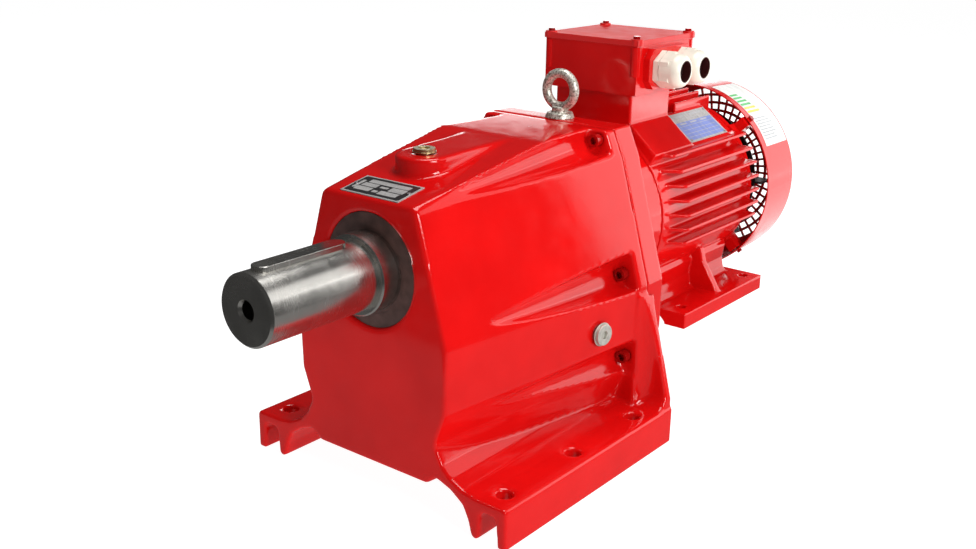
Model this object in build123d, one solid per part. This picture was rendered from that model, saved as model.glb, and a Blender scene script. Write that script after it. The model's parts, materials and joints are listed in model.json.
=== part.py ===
"""Foot-mounted inline helical gear reducer with its electric motor, as separate pieces.

Frame: +X to the right when facing the output shaft end, +Y from the shaft end toward the
motor, +Z up. Working coordinates put Y = 0 on the housing front face; everything is moved
by FRAME_SHIFT on export so the origin is the centre of the foot-hole rectangle.
"""
import os
from math import acos, atan, atan2, cos, degrees, pi, radians, sin, sqrt, tan

from build123d import *

# ---- driving dimensions, mm -------------------------------------------------------------
OUT_Z = 315.0            # output shaft height above the feet
MOTOR_Z = 297.0          # motor axis height
MID_Z = 180.0            # intermediate shaft height
SHAFT_D = 90.0           # output shaft end diameter
SHAFT_L = 170.0          # output shaft end length
SHOULDER_Y = -27.0       # shoulder the driven hub sits against
FOOT_X = 195.0           # foot hole half spacing across
FOOT_Y = (37.0, 187.0, 337.0)
FOOT_W = 225.0           # foot half width
FOOT_LEN = 402.0
FOOT_TOP = 56.0
FOOT_HOLE_D = 22.0
FRAME_SHIFT = -FOOT_Y[1]
PART_Y = 388.0           # joint face between housing and adapter flange
GASKET = 0.6             # sheet between housing and adapter
SEAT_Y = 366.0           # seat of the flange screws in their pockets
ADAPTER_Y = 430.0
BORE_R = 75.0            # output seal bore
PLATEAU_Z = 454.0
TOP_SLOPE = 0.185
SCREWS = ((96.0, 440.0), (150.0, 254.0), (161.0, 131.0))
FRAME_Y = (494.0, 776.0)   # motor frame front and rear
FRAME_R = 137.0
SHIELD_R = 125.66         # circle of the rear end shield's screws
FIN_R = 161.0
COWL_Y = (798.0, 915.0)
COWL_R = 163.0
MOTOR_FOOT_Z = 128.0
MOTOR_FOOT_X = 146.0
MOTOR_FOOT_Y = (554.0, 764.0)
BOX_X = 84.0
BOX_Y = (482.0, 650.0)
BOX_Z = (493.0, 556.0)
FIT = 0.03               # radial clearance of assembled fits

# gear sets: normal module, teeth, helix from the centre distance
M2, Z_OUT, Z_MID = 4.0, 47, 19
M1, Z_GEAR, Z_IN = 3.0, 58, 17
GEAR2_Y = (130.0, 190.0)
GEAR1_Y = (290.0, 335.0)

NODES = []


def save(shape, node):
    NODES.append(node)
    moved = Pos(0, FRAME_SHIFT, 0) * shape
    solids = moved.solids()
    export_step(solids[0] if len(solids) == 1 else Compound(children=list(solids)),
                f"parts/{node}.step")
    box = moved.bounding_box()
    print(f"{node:28s} {len(solids):3d} solids  y {box.min.Y:7.1f} {box.max.Y:7.1f}")


def disc(radius, y0, y1, x=0.0, z=0.0):
    """Round bar along Y."""
    return Pos(x, (y0 + y1) / 2, z) * Rot(90, 0, 0) * Cylinder(radius, y1 - y0)


def cone(r0, r1, y0, y1, x=0.0, z=0.0):
    """Cone frustum along Y, r0 at y0 and r1 at y1."""
    return Pos(x, (y0 + y1) / 2, z) * Rot(-90, 0, 0) * Cone(r0, r1, y1 - y0)


def ring(r_in, r_out, y0, y1, x=0.0, z=0.0):
    return disc(r_out, y0, y1, x, z) - disc(r_in, y0 - 1, y1 + 1, x, z)


def post(radius, z0, z1, x=0.0, y=0.0):
    """Round bar along Z."""
    return Pos(x, y, (z0 + z1) / 2) * Cylinder(radius, z1 - z0)


def block(x0, x1, y0, y1, z0, z1):
    centre = Pos((x0 + x1) / 2, (y0 + y1) / 2, (z0 + z1) / 2)
    return centre * Box(x1 - x0, y1 - y0, z1 - z0)


def section(points, y):
    """Face in the XZ plane at station y."""
    plane = Plane(origin=(0, y, 0), x_dir=(1, 0, 0), z_dir=(0, -1, 0))
    return plane * make_face(Polyline(*points, close=True))


def prism(points, y0, y1):
    return extrude(section(points, y0), amount=-(y1 - y0))


def both(points):
    """Mirror a right-hand outline (top to bottom) into a closed symmetric one."""
    return list(points) + [(-x, z) for x, z in reversed(points)]


def mirrored(shape):
    return shape + mirror(shape, about=Plane.YZ)


def hexagon(across_flats, y0, y1, x=0.0, z=0.0):
    r = across_flats / sqrt(3)
    return prism([(x + r * cos(k * pi / 3), z + r * sin(k * pi / 3)) for k in range(6)], y0, y1)


def hexagon_z(across_flats, z0, z1, x=0.0, y=0.0):
    face = RegularPolygon(across_flats / sqrt(3), 6)
    return Pos(x, y, z0) * extrude(face, amount=z1 - z0)


# ---- housing ----------------------------------------------------------------------------
def body_outline(y, inset=0.0):
    """Right half of the housing section at station y, pulled in by inset."""
    t = y / PART_Y
    top = min(409.0 + TOP_SLOPE * y, PLATEAU_Z)
    points = [
        (74 + 36 * t, top),
        (81 + 47 * t, 404 + 10 * t),
        (129 + 51 * t, 238),
        (127 + 54 * t, 152 + 13 * t),
        (112 + 54 * t, 112 - 4 * t),
        (112 + 38 * t, 62),
        (96 + 30 * t, 50),
    ]
    if inset:
        points = [(x - inset, z - inset * (1 if z > 300 else -1 if z < 100 else 0))
                  for x, z in points]
    return both(points)


def body_solid(inset=0.0, y0=0.0, y1=PART_Y):
    knee = (PLATEAU_Z - 409.0) / TOP_SLOPE
    stations = [y0, knee, y1]
    parts = []
    for a, b in zip(stations, stations[1:]):
        faces = [section(body_outline(a, inset), a), section(body_outline(b, inset), b)]
        parts.append(loft(faces, ruled=True))
    return parts[0] + parts[1]


def foot():
    """Right foot: top plate with outer skirt and inner leg, open channel below."""
    outline = [
        (100, 120), (114, 100), (122, 84), (136, 70), (156, 60), (180, FOOT_TOP),
        (FOOT_W - 3, FOOT_TOP), (FOOT_W, FOOT_TOP - 3), (FOOT_W, 0), (212, 0), (209, 36),
        (204, 41), (190, 41), (185, 36), (182, 3), (179, 0), (173, 0), (170, 3),
        (165, 22), (156, 40), (136, 54), (108, 64), (90, 62), (60, 52), (60, 60),
    ]
    shape = prism(outline, 0, FOOT_LEN)
    for y in FOOT_Y:
        shape -= post(FOOT_HOLE_D / 2, 30, 70, FOOT_X, y)
        shape -= post(FOOT_HOLE_D / 2 + 6, FOOT_TOP - 1.0, 70, FOOT_X, y)
    # machined rear end: the body stops at the joint face, only the foot plate runs on
    shape -= block(0, 148, PART_Y, FOOT_LEN + 1, -1, 200)
    shape -= block(148, 181, PART_Y, FOOT_LEN + 1, FOOT_TOP, 200)
    return shape


def scallop(x, z, tip, radius):
    """Tapering pocket that gives the flange screw room, pointed toward the front."""
    tip_x, tip_y, tip_z = tip
    small = Plane(origin=(tip_x, tip_y, tip_z), z_dir=(0, 1, 0)) * Circle(1.5)
    mid_y = tip_y + 0.45 * (SEAT_Y - tip_y)
    mx = tip_x + 0.45 * (x - tip_x) + 4
    mz = tip_z + 0.45 * (z - tip_z)
    middle = Plane(origin=(mx, mid_y, mz), z_dir=(0, 1, 0)) * Circle(0.62 * radius)
    large = Plane(origin=(x, SEAT_Y, z), z_dir=(0, 1, 0)) * Circle(radius)
    return loft([small, middle, large])


def pockets():
    cuts = scallop(106, 447, (84, 30, 414), 27)
    cuts += scallop(166, 260, (134, 36, 256), 27)
    cuts += scallop(178, 130, (133, 67, 139), 28)
    return cuts


def oil_boss():
    """Raised pad on the sloping roof that carries the breather."""
    pad = post(38, 400, 470, 0, 107) + block(-38, 38, 107, 262, 400, 470)
    roof = extrude(
        Plane.YZ.offset(-60) * make_face(
            Polyline((60, 390), (60, 448), (107, 449), (262, PLATEAU_Z), (262, 390), close=True)),
        amount=120)
    return pad & roof


def wing():
    """Gusset standing on the rear of the right foot, with hollow fillets into foot and body."""
    body_x, fillet_r = 180.0, 25.0
    outline = [(181, 226), (222, 68), (222, FOOT_TOP - 1), (150.5, FOOT_TOP - 1),
               (150.5, 64), (166.6, 108), (181.4, 165)]
    upright = prism(outline, PART_Y, FOOT_LEN)
    front = PART_Y - fillet_r
    span = prism([(140, 226), (181, 226), (222, 68), (222, FOOT_TOP - 1), (140, FOOT_TOP - 1)],
                 front, PART_Y)
    side = block(150, body_x + fillet_r, front, PART_Y, FOOT_TOP - 1, 226)
    side -= post(fillet_r, 0, 300, body_x + fillet_r, front)
    sole = block(150, 222, front, PART_Y, FOOT_TOP - 1, FOOT_TOP + fillet_r)
    hollow = Plane.YZ.offset(140) * Pos(front, FOOT_TOP + fillet_r) * Circle(fillet_r)
    sole -= extrude(hollow, amount=100)
    return upright + (side & span) + (sole & span)


def housing():
    outer = body_solid()
    foot_pair = mirrored(foot())
    belly = block(-62, 62, 0, PART_Y, 50, 62)
    shape = outer + foot_pair + belly + oil_boss() + mirrored(wing())
    cavity = body_solid(inset=11.0, y0=16.0, y1=PART_Y)
    cavity = cavity & block(-300, 300, 16, PART_Y, 0, 600)
    hubs = disc(92, 0, 52, 0, OUT_Z) + disc(62, 0, 47, 0, MID_Z)
    web = block(-200, 200, 226, 262, 0, 600)
    keep = (hubs + web) & outer
    shape = shape - (cavity - keep)
    cuts = pockets()
    wall = mirrored(thicken_pockets() & outer & block(-300, 300, 16, SEAT_Y + 22, 0, 600))
    shape = shape + wall - mirrored(cuts)
    shape -= disc(BORE_R, -1, 18, 0, OUT_Z)
    shape -= disc(66, 17, 25, 0, OUT_Z)
    shape -= disc(80 + FIT, 24, 60, 0, OUT_Z)
    shape -= disc(50 + FIT, 18, 60, 0, MID_Z)
    shape -= disc(70 + FIT, 232, 270, 0, OUT_Z)
    shape -= disc(62, 200, 233, 0, OUT_Z)
    shape -= disc(60 + FIT, 228, 270, 0, MID_Z)
    shape -= disc(52, 200, 229, 0, MID_Z)
    for x in (-100, 100):
        shape -= disc(16, 200, 270, x, 235)
    for x, z in SCREWS:
        for side in (-1, 1):
            shape -= disc(6.6, SEAT_Y - 5, PART_Y + 5, side * x, z)
    shape -= prism(body_outline(PART_Y, -1.0), PART_Y - GASKET, PART_Y + 0.2)
    for side in (-1, 1):
        shape -= plug_axis(side, 11.05, 60, -50)
        shape -= plug_axis(side, 17.5, 30, 0)
    shape -= post(11.05, 400, 460, 0, 107)
    shape -= post(11.05, 40, 70, 0, 330)
    return shape


def thicken_pockets():
    """Metal kept behind each pocket so the cavity never breaks into it."""
    walls = cone(24, 40, 24, SEAT_Y + 22, 97, 430)
    walls += cone(26, 42, 30, SEAT_Y + 22, 152, 258)
    walls += cone(26, 44, 55, SEAT_Y + 22, 160, 132)
    walls += disc(26, 250, 330, 150, 189)
    return walls


PLUG = (171.0, 284.0, 190.0)
PLUG_TILT = atan(51.0 / 388.0)


def plug_axis(side, radius, outer, inner):
    """Bar on the plug axis, from inner to outer measured from the side face."""
    x, y, z = PLUG
    direction = (side * cos(PLUG_TILT), -sin(PLUG_TILT), 0)
    origin = (side * x + direction[0] * inner, y + direction[1] * inner, z)
    return extrude(Plane(origin=origin, z_dir=direction) * Circle(radius), amount=outer - inner)


def oil_plugs():
    group = []
    for side in (-1, 1):
        body = plug_axis(side, 11, 1, -18) + plug_axis(side, 15, 5.5, 1)
        x, y, z = PLUG
        direction = (side * cos(PLUG_TILT), -sin(PLUG_TILT), 0)
        socket = Plane(origin=(side * x, y, z), z_dir=direction)
        body -= extrude(socket * RegularPolygon(6.5, 6), amount=10)
        group.append(body)
    drain = post(11, 40, 61, 0, 330) + post(15, 36.5, 48, 0, 330)
    drain -= hexagon_z(11, 30, 44, 0, 330)
    group.append(drain)
    return Compound(children=group)


def plug_washers():
    group = []
    for side in (-1, 1):
        group.append(plug_axis(side, 17, 1, 0) - plug_axis(side, 11.1, 2, -1))
    group.append(post(17, 48, 50, 0, 330) - post(11.1, 40, 60, 0, 330))
    return Compound(children=group)


def breather():
    body = post(10.95, 430, 450.5, 0, 107) + post(16, 450, 451.5, 0, 107)
    body += post(14.5, 451, 455.5, 0, 107)
    body -= hexagon_z(14, 452.5, 456, 0, 107)
    return body - post(3, 429, 456, 0, 107)


# ---- adapter flange (motor front end shield) ----------------------------------------------
def adapter():
    outline = body_outline(PART_Y)
    outline = [(x * 0.992, z if z > 300 else max(z, 66)) for x, z in outline]
    outline = [p for i, p in enumerate(outline) if p not in outline[:i]]
    plate = prism(outline, PART_Y, ADAPTER_Y)
    shape = plate + disc(FRAME_R - 1, ADAPTER_Y - 1, FRAME_Y[0], 0, MOTOR_Z)
    shape += disc(126.9, FRAME_Y[0] - 1, FRAME_Y[0] + 8, 0, MOTOR_Z)
    shape -= disc(118, 444, 520, 0, MOTOR_Z)
    shape += ring(49, 68, 400, 446, 0, MOTOR_Z)
    shape -= disc(50 + FIT, 404, 460, 0, MOTOR_Z)
    shape -= disc(36 + FIT, 380, 398, 0, MOTOR_Z)
    shape -= disc(30, 390, 410, 0, MOTOR_Z)
    for x, z in SCREWS:
        for side in (-1, 1):
            shape -= disc(5.9, PART_Y - 5, PART_Y + 31, side * x, z)
    shape -= post(9.95, 415, 470, 0, 409)
    for k in range(4):
        a = radians(45 + 90 * k)
        shape -= disc(5.1, 480, 510, 122 * cos(a), MOTOR_Z + 122 * sin(a))
    return shape


def flange_gasket():
    outer = body_outline(PART_Y, inset=3.0)
    inner = body_outline(PART_Y, inset=14.0)
    sheet = prism(outer, PART_Y - GASKET, PART_Y)
    sheet -= prism(inner, PART_Y - 1, PART_Y + 1)
    for x, z in SCREWS:
        for side in (-1, 1):
            sheet -= disc(6.6, PART_Y - 2, PART_Y + 2, side * x, z)
    return sheet


def cap_screw(d, length, head_d, head_h, y_seat, x, z):
    """Socket head cap screw pointing +Y, head seated at y_seat."""
    body = disc(d / 2 - 0.1, y_seat, y_seat + length, x, z)
    body += disc(head_d / 2, y_seat - head_h, y_seat, x, z)
    body -= hexagon(0.83 * d, y_seat - head_h - 1, y_seat - head_h * 0.45, x, z)
    return body


def flange_screws():
    group = []
    for x, z in SCREWS:
        for side in (-1, 1):
            group.append(cap_screw(12, 48, 18, 12, SEAT_Y, side * x, z))
    return Compound(children=group)


def eyebolt():
    y, z = 409.0, PLATEAU_Z
    shape = post(9.9, z - 30, z, 0, y)
    shape += Pos(0, y, z + 4.0) * Cone(22, 19, 8)
    shape += Pos(0, y, z + 40.5) * Rot(90, 0, 0) * Torus(24.5, 7.0)
    shape += Pos(0, y, z + 11) * Cylinder(12, 10)
    return shape


# ---- gears and shafts -----------------------------------------------------------------------
def involute_tooth(module, teeth, helix, thinning):
    """Half-angle against radius of a transverse helical tooth: list of (radius, half angle)."""
    alpha = atan(tan(radians(20)) / cos(helix))
    pitch = module * teeth / cos(helix) / 2
    base = pitch * cos(alpha)
    tip = pitch + module
    root = pitch - 1.25 * module
    half = pi / (2 * teeth) - thinning / (2 * pitch)
    inv_pitch = tan(alpha) - alpha

    def half_angle(r):
        a = acos(min(1.0, base / r))
        return half + inv_pitch - (tan(a) - a)

    start = max(base, root) + 0.02
    radii = [start + (tip - start) * k / 3 for k in range(4)]
    return root, [(r, half_angle(r)) for r in radii]


def helix_angle(module, total_teeth, distance):
    return acos(module * total_teeth / 2 / distance)


def helical_gear(module, teeth, helix, hand, y_ref, y0, y1, z_axis, phase, bore):
    """Twisted toothed blank; phase is the tooth direction (deg from +X toward +Z) at y_ref."""
    root, flank = involute_tooth(module, teeth, helix, 0.30)
    pitch = module * teeth / cos(helix) / 2
    rate = hand * degrees(tan(helix) / pitch)
    start = radians(phase - rate * (y0 - y_ref))
    plane = Plane(origin=(0, y0, z_axis), x_dir=(1, 0, 0), z_dir=(0, -1, 0))

    def at(r, a):
        return plane.from_local_coords(Vector(r * cos(a), r * sin(a), 0))

    edges = []
    step = 2 * pi / teeth
    for k in range(teeth):
        mid = start + k * step
        rising = [at(r, mid - h) for r, h in flank]
        falling = [at(r, mid + h) for r, h in reversed(flank)]
        foot_a = at(root, mid - flank[0][1] * 1.08)
        foot_b = at(root, mid + flank[0][1] * 1.08)
        next_foot = at(root, mid + step - flank[0][1] * 1.08)
        edges.append(Edge.make_line(foot_a, rising[0]))
        edges.append(Edge.make_spline(rising))
        edges.append(Edge.make_line(rising[-1], falling[0]))
        edges.append(Edge.make_spline(falling))
        edges.append(Edge.make_line(falling[-1], foot_b))
        edges.append(Edge.make_line(foot_b, next_foot))
    wire = Wire(edges)
    solid = Solid.extrude_linear_with_rotation(
        wire, center=(0, y0, z_axis), normal=(0, y1 - y0, 0), angle=rate * (y1 - y0))
    shape = Part(solid.wrapped)
    if bore:
        shape -= disc(bore, y0 - 1, y1 + 1, 0, z_axis)
    return shape


def key_bar(width, height, y0, y1, z_mid, square_ends=False):
    """Parallel key along Y with round ends, centred on z_mid."""
    bar = block(-width / 2, width / 2, y0 + width / 2, y1 - width / 2,
                z_mid - height / 2, z_mid + height / 2)
    for y in (y0 + width / 2, y1 - width / 2):
        bar += post(width / 2, z_mid - height / 2, z_mid + height / 2, 0, y)
    return bar


END_Y = SHOULDER_Y - SHAFT_L
KEY_Z = OUT_Z + SHAFT_D / 2 - 9.0 + 7.0
KEY_Y = (END_Y + 14, END_Y + 154)
GEAR_KEY_Y = (GEAR2_Y[0] + 4, GEAR2_Y[1] - 4)


SEAM = (cos(radians(-37)), 0, sin(radians(-37)))   # seam of the shaft end, away from the keyway


def output_shaft():
    turned = Plane(origin=(0, END_Y + 3, OUT_Z), x_dir=SEAM, z_dir=(0, 1, 0))
    shape = extrude(turned * Circle(45), amount=SHOULDER_Y - END_Y - 3)
    shape += cone(42, 45, END_Y, END_Y + 3, 0, OUT_Z)
    shape += cone(50.5, 52.5, SHOULDER_Y, SHOULDER_Y + 2, 0, OUT_Z)
    shape += disc(52.5, SHOULDER_Y + 2, 52, 0, OUT_Z)
    shape += disc(60, 51, 80, 0, OUT_Z)
    shape += disc(58, 79, GEAR2_Y[0], 0, OUT_Z)
    shape += disc(55, GEAR2_Y[0] - 1, GEAR2_Y[1] + 1, 0, OUT_Z)
    shape += disc(50, GEAR2_Y[1], 232, 0, OUT_Z)
    shape += disc(45, 231, 262, 0, OUT_Z)
    shape -= disc(11, END_Y - 1, END_Y + 50, 0, OUT_Z)
    shape -= cone(14, 11, END_Y - 0.01, END_Y + 4, 0, OUT_Z)
    shape -= key_bar(25, 14, *KEY_Y, KEY_Z)
    shape -= key_bar(28, 16, *GEAR_KEY_Y, OUT_Z + 55 - 10 + 8)
    shape -= ring(43, 46, 257, 260, 0, OUT_Z)
    return shape


def output_gear():
    helix = helix_angle(M2, Z_OUT + Z_MID, OUT_Z - MID_Z)
    y0, y1 = GEAR2_Y
    blank = helical_gear(M2, Z_OUT, helix, 1, y0, y0, y1, OUT_Z, -90, 55 + FIT)
    blank -= ring(68, 82, y0 - 1, y0 + 12, 0, OUT_Z) + ring(68, 82, y1 - 12, y1 + 1, 0, OUT_Z)
    blank -= key_bar(28.1, 16, y0 - 20, y1 + 20, OUT_Z + 55 - 10 + 8.1)
    return blank


def intermediate_shaft():
    helix = helix_angle(M2, Z_OUT + Z_MID, OUT_Z - MID_Z)
    y0, y1 = GEAR2_Y[0] - 8, GEAR2_Y[1] + 8
    teeth = helical_gear(M2, Z_MID, helix, -1, GEAR2_Y[0], y0, y1, MID_Z, 90 + 180 / Z_MID, 0)
    shape = teeth + disc(22.5, 20, 46, 0, MID_Z)
    shape += disc(28, 45, y0 + 1, 0, MID_Z)
    shape += disc(30, y1 - 1, 218, 0, MID_Z)
    shape += disc(33, 217, 228, 0, MID_Z)
    shape += disc(27.5, 227, 284, 0, MID_Z)
    shape += disc(26, 283, 340, 0, MID_Z)
    shape -= key_bar(16, 10, 292, 333, MID_Z + 26 - 6 + 5)
    shape -= ring(24, 27, 337, 339, 0, MID_Z)
    return shape


def intermediate_gear():
    helix = helix_angle(M1, Z_GEAR + Z_IN, MOTOR_Z - MID_Z)
    blank = helical_gear(M1, Z_GEAR, helix, 1, 290, *GEAR1_Y, MID_Z, 90, 26 + FIT)
    blank -= ring(42, 76, 289, 301, 0, MID_Z) + ring(42, 76, 324, 336, 0, MID_Z)
    for k in range(6):
        a = radians(60 * k + 30)
        blank -= disc(10, 280, 345, 59 * cos(a), MID_Z + 59 * sin(a))
    blank -= key_bar(16.1, 10, 270, 360, MID_Z + 26 - 6 + 5.1)
    return blank


def input_pinion():
    helix = helix_angle(M1, Z_GEAR + Z_IN, MOTOR_Z - MID_Z)
    shape = helical_gear(M1, Z_IN, helix, -1, 290, 286, 342, MOTOR_Z, -90 + 180 / Z_IN, 0)
    shape += disc(20, 341, 352, 0, MOTOR_Z)
    shape += disc(14, 351, 420, 0, MOTOR_Z)
    return shape


def ball_bearing(d, big_d, width, y0, z, x=0.0):
    """Deep groove bearing: outer ring, inner ring, balls with cage."""
    mean = (d + big_d) / 4
    ball = (big_d - d) * 0.15
    y_mid = y0 + width / 2
    groove = Pos(x, y_mid, z) * Rot(90, 0, 0) * Torus(mean, ball + 0.06)
    outer = ring(mean + ball * 0.55, big_d / 2, y0, y0 + width, x, z) - groove
    inner = ring(d / 2 + 0.0, mean - ball * 0.55, y0, y0 + width, x, z) - groove
    count = int(2 * pi * mean / (ball * 2.6))
    balls = []
    cage = ring(mean - 1.2, mean + 1.2, y_mid - ball * 0.8, y_mid + ball * 0.8, x, z)
    for k in range(count):
        a = 2 * pi * k / count
        spot = Pos(x + mean * cos(a), y_mid, z + mean * sin(a))
        balls.append(spot * Sphere(ball))
        cage -= spot * Sphere(ball + 0.1)
    return outer, inner, Compound(children=balls + list(cage.solids()))


BEARINGS = {
    "output_front": (105.0, 160.0, 26.0, 25.0, OUT_Z),
    "output_rear": (90.0, 140.0, 24.0, 232.0, OUT_Z),
    "intermediate_front": (45.0, 100.0, 25.0, 20.0, MID_Z),
    "intermediate_rear": (55.0, 120.0, 29.0, 228.0, MID_Z),
    "motor_drive_end": (45.0, 100.0, 25.0, 404.0, MOTOR_Z),
    "motor_fan_end": (45.0, 100.0, 25.0, 786.0, MOTOR_Z),
}


def lip_seal(shaft_r, bore_r, y0, width, z):
    """Rubber covered radial shaft seal with a case and a lip clear of the shaft."""
    case = ring(bore_r - 5, bore_r - FIT, y0, y0 + width, 0, z)
    face = ring(shaft_r + 4, bore_r - 4, y0, y0 + 3, 0, z)
    lip = ring(shaft_r + 0.05, shaft_r + 5, y0 + 0.5, y0 + 4, 0, z)
    neck = ring(shaft_r + 3, shaft_r + 6, y0 + 2, y0 + width - 2, 0, z)
    return case + face + lip + neck


def circlip(r_groove, r_outer, y0, y1, z):
    body = ring(r_groove, r_outer, y0, y1, 0, z)
    return body - block(-3, 3, y0 - 1, y1 + 1, z + r_groove - 2, z + r_outer + 3)


# ---- motor --------------------------------------------------------------------------------
def frame_fins():
    """Horizontal side fins, ramped at the front, clipped to the round envelope."""
    y0, y1 = FRAME_Y
    fins = None
    for k in range(7):
        dz = 97 - 22 * k
        reach = sqrt(FIN_R ** 2 - dz ** 2)
        start = sqrt((FRAME_R - 6) ** 2 - dz ** 2)
        face = Plane.XY.offset(MOTOR_Z + dz - 2.5) * make_face(Polyline(
            (start, y0 + 14), (reach - 4, y0 + 34), (reach, y0 + 40), (reach, y1 - 6),
            (start, y1 - 6), close=True))
        bar = extrude(face, amount=5)
        fins = bar if fins is None else fins + bar
    for x in (10, 30, 50):
        low = MOTOR_Z + sqrt((FRAME_R - 6) ** 2 - x ** 2)
        high = MOTOR_Z + sqrt(FIN_R ** 2 - x ** 2)
        fins += block(x, x + 5, BOX_Y[1] + 4, y1 - 6, low, high)
    for x in (20, 48, 76):
        low = MOTOR_Z - sqrt((FRAME_R - 6) ** 2 - x ** 2)
        high = MOTOR_Z - sqrt((FIN_R - 4) ** 2 - x ** 2)
        fins += block(x, x + 5, y0 + 24, y1 - 6, high, low)
    return mirrored(fins)


PLATE_ANGLE = 54.0
PLATE_DIST = 149.0
PLATE_Y = 672.0


def tilted(radial, along, y):
    """Placement on the upper right pad: radial distance, sideways offset, station."""
    a = radians(PLATE_ANGLE)
    x = radial * cos(a) - along * sin(a)
    z = MOTOR_Z + radial * sin(a) + along * cos(a)
    return Pos(x, y, z) * Rot(0, 90 - PLATE_ANGLE, 0)


def motor_foot():
    """Right foot of the motor: plate, leg with arched front, centre rib."""
    y0, y1 = 523.0, 787.0
    plate = block(60, 170, y0, y1, MOTOR_FOOT_Z, MOTOR_FOOT_Z + 24)
    plate -= prism([(40, 100), (134, 100), (134, 130), (120, 146), (60, 146), (40, 146)],
                   y0 - 1, y1 + 1)
    leg = prism([(70, 148), (118, 148), (108, 158), (104, 176), (108, 200), (96, 226),
                 (60, 200)], y0 + 20, y1 - 20)
    rib = prism([(80, 150), (160, 150), (128, 200), (122, 222), (80, 222)], 648, 662)
    shape = plate + leg + rib
    for y in MOTOR_FOOT_Y:
        shape -= post(7.5, 120, 160, MOTOR_FOOT_X, y)
    return shape


def saddle():
    """Seat of the terminal box, with shoulders sloping out to the plate pads."""
    base = BOX_Z[0] - 8
    front, rear = BOX_Y[0] + 14, BOX_Y[1] - 40
    seat = prism([(-68, base), (68, base), (68, 390), (-68, 390)], front, rear)
    slope = prism([(68, 440), (116, 399), (104, 375), (60, 390), (60, 440)], front, rear)
    return seat + mirrored(slope)


def stator_frame():
    y0, y1 = FRAME_Y
    shell = disc(FRAME_R, y0, y1, 0, MOTOR_Z)
    shell += frame_fins()
    shell += saddle()
    pad = tilted(PLATE_DIST - 20, 0, PLATE_Y) * Box(70, 130, 40)
    shell += pad + mirror(pad, about=Plane.YZ)
    shell += mirrored(motor_foot())
    shell -= disc(127, y0 - 1, y1 + 1, 0, MOTOR_Z)
    shell -= block(-44, 44, BOX_Y[0] + 40, BOX_Y[1] - 50, MOTOR_Z + 100, BOX_Z[0])
    for k in range(4):
        a = radians(45 + 90 * k)
        x, z = SHIELD_R * cos(a), MOTOR_Z + SHIELD_R * sin(a)
        shell += disc(9, y1 - 24, y1, x, z)
        shell -= disc(4.2, y1 - 25, y1 + 1, x, z)
    shell -= disc(115, y0 - 1, y1 + 1, 0, MOTOR_Z)
    return shell


def stator_core():
    core = ring(80, 114.9, 560, 740, 0, MOTOR_Z)
    for k in range(36):
        a = radians(10 * k)
        slot = Pos(92 * cos(a), 650, MOTOR_Z + 92 * sin(a)) * Rot(0, -degrees(a), 0) * Box(20, 190, 6)
        core -= slot
    return core


def windings():
    front = ring(84, 112, 522, 558, 0, MOTOR_Z)
    rear = ring(84, 112, 742, 770, 0, MOTOR_Z)
    bars = []
    for k in range(36):
        a = radians(10 * k)
        bars.append(Pos(92.5 * cos(a), 650, MOTOR_Z + 92.5 * sin(a))
                    * Rot(0, -degrees(a), 0) * Box(16, 186, 5.6))
    shape = front + rear
    for bar in bars:
        shape += bar
    return shape


def rotor_core():
    core = ring(30, 79.5, 562, 738, 0, MOTOR_Z)
    return core


def rotor_cage():
    front = ring(58, 79, 546, 562, 0, MOTOR_Z)
    rear = ring(58, 79, 738, 754, 0, MOTOR_Z)
    return Compound(children=[front, rear])


def motor_shaft():
    shape = disc(22.5, 372, 430, 0, MOTOR_Z) + disc(27, 429, 540, 0, MOTOR_Z)
    shape += disc(30, 539, 756, 0, MOTOR_Z) + disc(27, 755, 786, 0, MOTOR_Z)
    shape += disc(22.5, 785, 818, 0, MOTOR_Z) + disc(18, 817, 868, 0, MOTOR_Z)
    shape -= disc(14, 371, 421, 0, MOTOR_Z)
    shape -= ring(17, 19, 862, 864, 0, MOTOR_Z)
    return shape


def fan_end_shield():
    y1 = FRAME_Y[1]
    dish = ring(53, 137, y1, y1 + 10, 0, MOTOR_Z)
    hub = ring(49.9, 64, y1, 815, 0, MOTOR_Z)
    shape = dish + hub + ring(100, 114.8, y1 - 6, y1 + 1, 0, MOTOR_Z)
    for k in range(4):
        a = radians(45 + 90 * k)
        arm = Pos(144.5 * cos(a), 803, MOTOR_Z + 144.5 * sin(a)) * Rot(0, -degrees(a), 0)
        shape += arm * Box(28, 22, 18)
        shape += Pos(128 * cos(a), 792, MOTOR_Z + 128 * sin(a)) * Rot(0, -degrees(a), 0) * Box(24, 32, 20)
        shape -= disc(4.6, y1 - 1, y1 + 11, 125.66 * cos(a), MOTOR_Z + 125.66 * sin(a))
        shape -= disc(8.5, y1 + 10, 830, 125.66 * cos(a), MOTOR_Z + 125.66 * sin(a))
        screw = Plane(origin=(100 * cos(a), 806, MOTOR_Z + 100 * sin(a)), z_dir=(cos(a), 0, sin(a)))
        shape -= extrude(screw * Circle(2.6), amount=80)
    shape -= disc(50 + FIT, 780, 830, 0, MOTOR_Z)
    shape += ring(30, 51, y1, y1 + 6, 0, MOTOR_Z)
    return shape


def fan():
    hub = ring(18 + FIT, 28, 828, 860, 0, MOTOR_Z)
    plate = ring(26, 118, 836, 840, 0, MOTOR_Z)
    shape = hub + plate
    for k in range(7):
        a = 360 / 7 * k
        blade = Pos(0, 856, MOTOR_Z) * Rot(0, a, 0) * Pos(88, 0, 0) * Box(84, 34, 4)
        shape += blade
    return shape


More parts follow.
